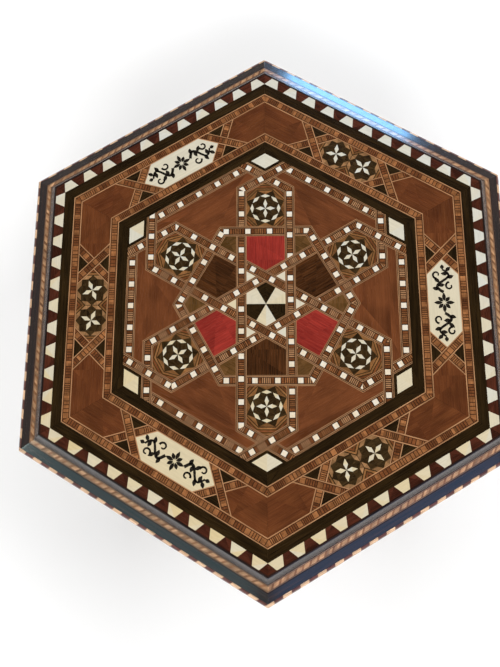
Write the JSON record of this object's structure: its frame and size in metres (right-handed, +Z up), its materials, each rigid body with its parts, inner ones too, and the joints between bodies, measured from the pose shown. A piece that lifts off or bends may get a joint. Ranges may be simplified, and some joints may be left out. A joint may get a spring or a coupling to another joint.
{
  "type": "inlaid wooden box",
  "caption": "Hexagonal keepsake box of inlaid wood with a felt-lined inside and an overhanging, moulded lid that opens on hinges along its back.",
  "frame": {"origin": "centre of the resting face, at the underside of the plinth", "axes": "+Z up, -Y towards the front, +Y towards the hinges, X along the line between two opposite corners"},
  "size_m": [0.287, 0.2496, 0.098],
  "materials": {
    "carcass_wood": "oiled",
    "lacquered_moulding": "gloss lacquer",
    "red_felt": "felt",
    "green_felt": "felt",
    "black_veneer": "polished",
    "strip_wood": "polished",
    "strap_wood": "polished",
    "brown_veneer": "polished",
    "border_veneer": "polished",
    "bone": "polished bone",
    "red_veneer": "polished",
    "rosewood_veneer": "polished",
    "olive_veneer": "polished",
    "medallion_ground": "polished",
    "light_brown_wood": "polished",
    "rope_inlay": "polished",
    "chequer_light": "polished",
    "chequer_dark": "polished",
    "brass": "satin"
  },
  "bodies": {
    "box": {"bottom_board": "carcass_wood", "base_felt": "green_felt", "floor_lining": "red_felt", "wall_lining": "red_felt", "wall_front": "carcass_wood", "wall_front_right": "carcass_wood", "wall_back_right": "carcass_wood", "wall_back": "carcass_wood", "wall_back_left": "carcass_wood", "wall_front_left": "carcass_wood", "plinth_front": "lacquered_moulding", "plinth_front_right": "lacquered_moulding", "plinth_back_right": "lacquered_moulding", "plinth_back": "lacquered_moulding", "plinth_back_left": "lacquered_moulding", "plinth_front_left": "lacquered_moulding", "wall_bands": "black_veneer", "wall_strips": "strip_wood", "wall_fields": "brown_veneer", "wall_star_grounds": "medallion_ground", "wall_stars": "bone", "hinge_leaves_wall": "brass", "hinge_pins": "brass", "hinge_screws_wall": "brass"},
    "lid": {"lid_board": "carcass_wood", "lid_lining": "red_felt", "lid_rail_front": "lacquered_moulding", "lid_rail_front_right": "lacquered_moulding", "lid_rail_back_right": "lacquered_moulding", "lid_rail_back": "lacquered_moulding", "lid_rail_back_left": "lacquered_moulding", "lid_rail_front_left": "lacquered_moulding", "rope_inlay": "rope_inlay", "chequer_light": "chequer_light", "chequer_dark": "chequer_dark", "bone_teeth": "bone", "border_wood": "border_veneer", "black_bands": "black_veneer", "band_strips": "strip_wood", "band_fields": "brown_veneer", "crossing_strips": "strip_wood", "crossing_triangles": "black_veneer", "bone_plaques": "bone", "corner_lozenges": "bone", "border_straps": "strap_wood", "star_straps": "strap_wood", "outer_fields": "brown_veneer", "red_pentagons": "red_veneer", "dark_pentagons": "rosewood_veneer", "olive_kites": "olive_veneer", "bone_triangles": "bone", "centre_black": "black_veneer", "centre_bone": "bone", "star_petals": "bone", "dark_stars": "black_veneer", "bone_rings": "bone", "brown_rhombs": "light_brown_wood", "medallion_grounds": "medallion_ground", "hinge_leaves_lid": "brass", "hinge_screws_lid": "brass"}
  },
  "joints": [
    {"name": "lid_hinge", "type": "hinge", "parent": "box", "child": "lid", "pos_m": [0, 0.11484, 0.0779], "axis": [-1, 0, 0], "range_deg": [0, 105]}
  ]
}
